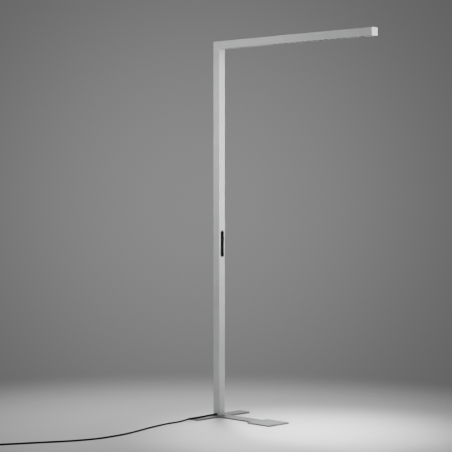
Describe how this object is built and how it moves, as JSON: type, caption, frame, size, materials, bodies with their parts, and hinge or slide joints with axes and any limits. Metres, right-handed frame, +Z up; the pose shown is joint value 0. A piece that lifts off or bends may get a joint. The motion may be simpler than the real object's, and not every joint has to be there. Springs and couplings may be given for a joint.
{
  "type": "floor lamp",
  "caption": "Office floor lamp: a square aluminium post on a flat T foot, with a slim arm at the top, square light cells under it and a push-key panel in the post.",
  "frame": {"origin": "on the post's axis, at the floor, at the middle of the centre pad's underside", "axes": "+X from the post along the arm and the foot's leg, +Z up, and -Y is the side that the mains cord leaves"},
  "size_m": [1.2831, 1.6942, 1.95],
  "materials": {
    "coated_steel": "matt silver-grey powder coat on steel plate",
    "coated_aluminium": "matt silver-grey fine-textured coat on extruded aluminium",
    "bright_aluminium": "smooth light silver coat",
    "cast_aluminium": "bare cast and machined",
    "zinc_steel": "bright zinc plate",
    "cap_plastic": "moulded silver-grey, fine matt",
    "black_plastic": "moulded black, fine matt",
    "key_plastic": "moulded black, satin",
    "white_plastic": "moulded white",
    "mirror_plastic": "vacuum-metallised, satin mirror",
    "opal_plastic": "extruded opal acrylic",
    "white_board": "white solder mask on metal-core board",
    "green_board": "green solder mask on glass-fibre board",
    "led_phosphor": "yellow phosphor in a white housing",
    "pad_rubber": "solid black rubber",
    "gland_rubber": "moulded black, ribbed",
    "cord_pvc": "black flexible PVC sheath",
    "core_pvc": "coloured PVC insulation",
    "nickel_brass": "nickel-plated brass"
  },
  "bodies": {
    "lamp": {"foot_plate": "coated_steel", "foot_pads": "pad_rubber", "foot_screws": "zinc_steel", "post_spigot": "cast_aluminium", "post_profile": "coated_aluminium", "post_lock_screws": "zinc_steel", "post_top_cap": "cap_plastic", "cord_gland": "gland_rubber", "cord_clamp": "black_plastic", "clamp_screws": "zinc_steel", "inner_mains_lead": "cord_pvc", "terminal_block": "white_plastic", "mains_cores": "core_pvc", "driver_carrier": "zinc_steel", "carrier_screw": "zinc_steel", "led_driver": "white_plastic", "driver_screws": "zinc_steel", "arm_cable": "cord_pvc", "control_cable": "cord_pvc", "cable_clips": "black_plastic", "control_frame": "black_plastic", "key_switches": "black_plastic", "control_board": "green_board", "control_case": "black_plastic", "control_screws": "zinc_steel", "corner_bracket": "zinc_steel", "bracket_post_screws": "zinc_steel", "bracket_arm_screws": "zinc_steel", "arm_profile": "coated_aluminium", "arm_underside_cover": "coated_aluminium", "reflector_strip": "mirror_plastic", "down_led_board": "white_board", "down_leds": "led_phosphor", "up_led_board": "white_board", "up_leds": "led_phosphor", "board_connector": "white_plastic", "board_leads": "core_pvc", "top_diffuser": "opal_plastic", "arm_top_cover": "coated_aluminium", "cover_clips": "zinc_steel", "end_cap": "bright_aluminium", "mains_cord": "cord_pvc", "cord_coil": "cord_pvc", "plug_body": "cord_pvc", "plug_pins": "nickel_brass", "plug_earth_clips": "nickel_brass"},
    "brighter_key": {"key_brighter": "key_plastic"},
    "power_key": {"key_power": "key_plastic"},
    "dimmer_key": {"key_dimmer": "key_plastic"}
  },
  "joints": [
    {"name": "brighter_press", "type": "slide", "parent": "lamp", "child": "brighter_key", "axis": [-1, 0, 0], "range_m": [0, 0.0008], "stiffness_N_per_m": 2000, "springref_m": -0.0004},
    {"name": "power_press", "type": "slide", "parent": "lamp", "child": "power_key", "axis": [-1, 0, 0], "range_m": [0, 0.0008], "stiffness_N_per_m": 2000, "springref_m": -0.0004},
    {"name": "dimmer_press", "type": "slide", "parent": "lamp", "child": "dimmer_key", "axis": [-1, 0, 0], "range_m": [0, 0.0008], "stiffness_N_per_m": 2000, "springref_m": -0.0004}
  ]
}
